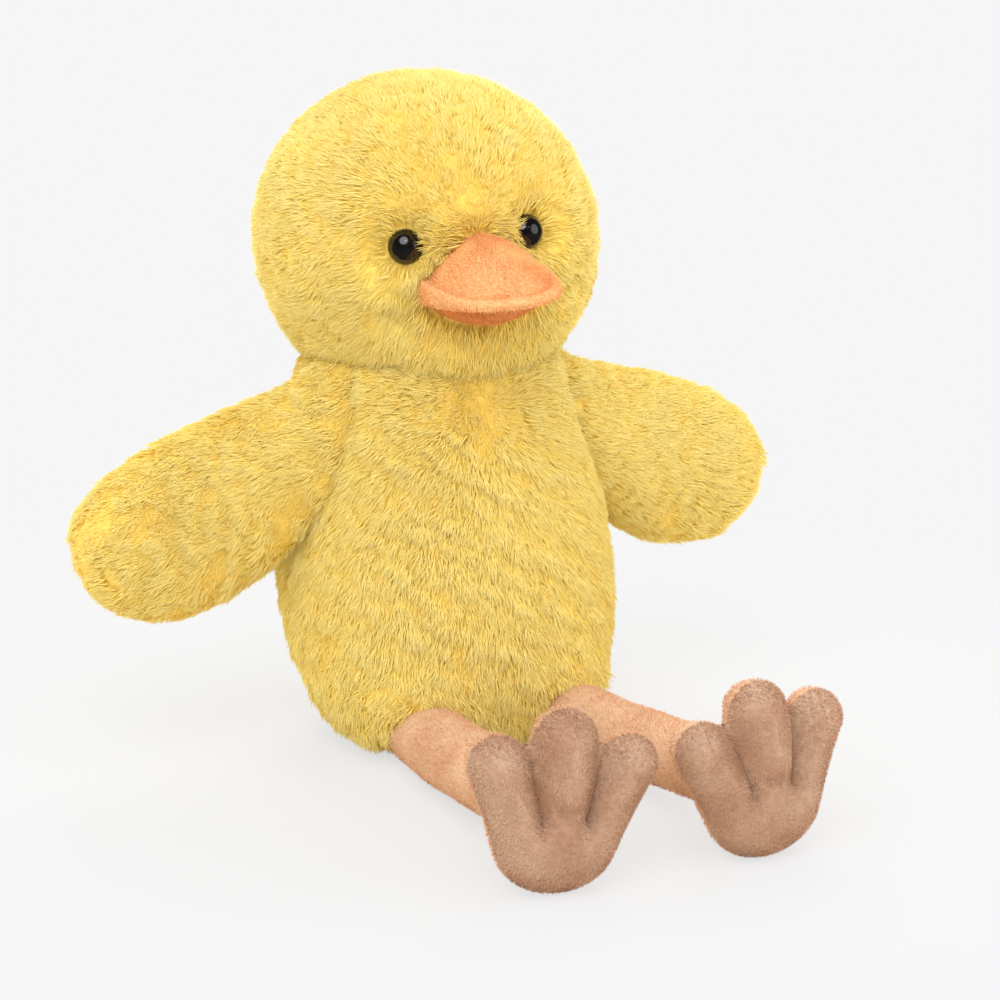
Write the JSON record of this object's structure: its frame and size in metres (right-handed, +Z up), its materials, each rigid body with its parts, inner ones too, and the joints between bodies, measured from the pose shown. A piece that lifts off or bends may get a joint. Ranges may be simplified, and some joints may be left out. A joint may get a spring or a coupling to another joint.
{
  "type": "plush chick",
  "caption": "Seated stuffed toy chick in long yellow fur, with a sewn orange beak, black eyes, paddle wings, and floppy legs that end in three-toed feet.",
  "frame": {"origin": "middle of the flat patch under the body that the toy sits on", "axes": "+Z up, -Y the way the body faces, +X to the toy's own left"},
  "size_m": [0.2662, 0.2424, 0.23],
  "materials": {
    "yellow_fur": "matte",
    "tan_velboa": "matte",
    "rose_velboa": "matte",
    "orange_velboa": "matte",
    "eye_black": "gloss",
    "washer_plastic": "matte",
    "fibre_filling": "matte",
    "bag_cloth": "matte",
    "pellets": "matte",
    "yellow_thread": "matte",
    "brown_thread": "matte"
  },
  "bodies": {
    "body": {"body_front_panel": "yellow_fur", "body_back_panel": "yellow_fur", "body_seat_panel": "yellow_fur", "body_filling": "fibre_filling", "pellet_bag_top_panel": "bag_cloth", "pellet_bag_bottom_panel": "bag_cloth", "pellets": "pellets"},
    "neck": {"neck_stitching": "yellow_thread"},
    "head": {"head_face_panel": "yellow_fur", "head_back_panel": "yellow_fur", "head_filling": "fibre_filling", "right_eye": "eye_black", "left_eye": "eye_black", "right_eye_washer": "washer_plastic", "left_eye_washer": "washer_plastic", "beak_upper_panel": "orange_velboa", "beak_lower_panel": "orange_velboa", "beak_seam_edge": "orange_velboa", "beak_filling": "fibre_filling"},
    "right_wing": {"right_wing_front_panel": "yellow_fur", "right_wing_back_panel": "yellow_fur", "right_wing_filling": "fibre_filling"},
    "left_wing": {"left_wing_front_panel": "yellow_fur", "left_wing_back_panel": "yellow_fur", "left_wing_filling": "fibre_filling"},
    "right_leg": {"right_leg_sleeve": "tan_velboa", "right_leg_filling": "fibre_filling"},
    "left_leg": {"left_leg_sleeve": "tan_velboa", "left_leg_filling": "fibre_filling"},
    "right_foot": {"right_foot_sole_panel": "rose_velboa", "right_foot_upper_panel": "tan_velboa", "right_foot_filling": "fibre_filling", "right_foot_inner_toe_stitching": "brown_thread", "right_foot_outer_toe_stitching": "brown_thread"},
    "left_foot": {"left_foot_sole_panel": "rose_velboa", "left_foot_upper_panel": "tan_velboa", "left_foot_filling": "fibre_filling", "left_foot_inner_toe_stitching": "brown_thread", "left_foot_outer_toe_stitching": "brown_thread"}
  },
  "joints": [
    {"name": "head_turn", "type": "hinge", "parent": "body", "child": "neck", "pos_m": [0, 0.02345, 0.17269], "axis": [0, 0, 1], "range_deg": [-35, 35], "stiffness_Nm_per_rad": 0.12},
    {"name": "head_nod", "type": "hinge", "parent": "neck", "child": "head", "pos_m": [0, 0.02345, 0.17269], "axis": [0.9888, -0.1214, 0.0872], "range_deg": [-14, 14], "stiffness_Nm_per_rad": 0.25},
    {"name": "right_wing_swing", "type": "hinge", "parent": "body", "child": "right_wing", "pos_m": [-0.05364, 0.01763, 0.1], "axis": [0.191, 0.1705, 0.9667], "range_deg": [-30, 40], "stiffness_Nm_per_rad": 0.03},
    {"name": "right_leg_swing", "type": "hinge", "parent": "body", "child": "right_leg", "pos_m": [-0.027, -0.0399, 0.018], "axis": [-1, 0, 0], "range_deg": [-60, 40]},
    {"name": "right_ankle_bend", "type": "hinge", "parent": "right_leg", "child": "right_foot", "pos_m": [-0.03342, -0.13165, 0.0203], "axis": [-1, 0, 0], "range_deg": [-20, 20], "stiffness_Nm_per_rad": 0.03},
    {"name": "left_wing_swing", "type": "hinge", "parent": "body", "child": "left_wing", "pos_m": [0.05364, 0.01763, 0.1], "axis": [0.191, -0.1705, -0.9667], "range_deg": [-30, 40], "stiffness_Nm_per_rad": 0.03},
    {"name": "left_leg_swing", "type": "hinge", "parent": "body", "child": "left_leg", "pos_m": [0.027, -0.0399, 0.018], "axis": [-1, 0, 0], "range_deg": [-60, 40]},
    {"name": "left_ankle_bend", "type": "hinge", "parent": "left_leg", "child": "left_foot", "pos_m": [0.03342, -0.13165, 0.0203], "axis": [-1, 0, 0], "range_deg": [-20, 20], "stiffness_Nm_per_rad": 0.03}
  ]
}
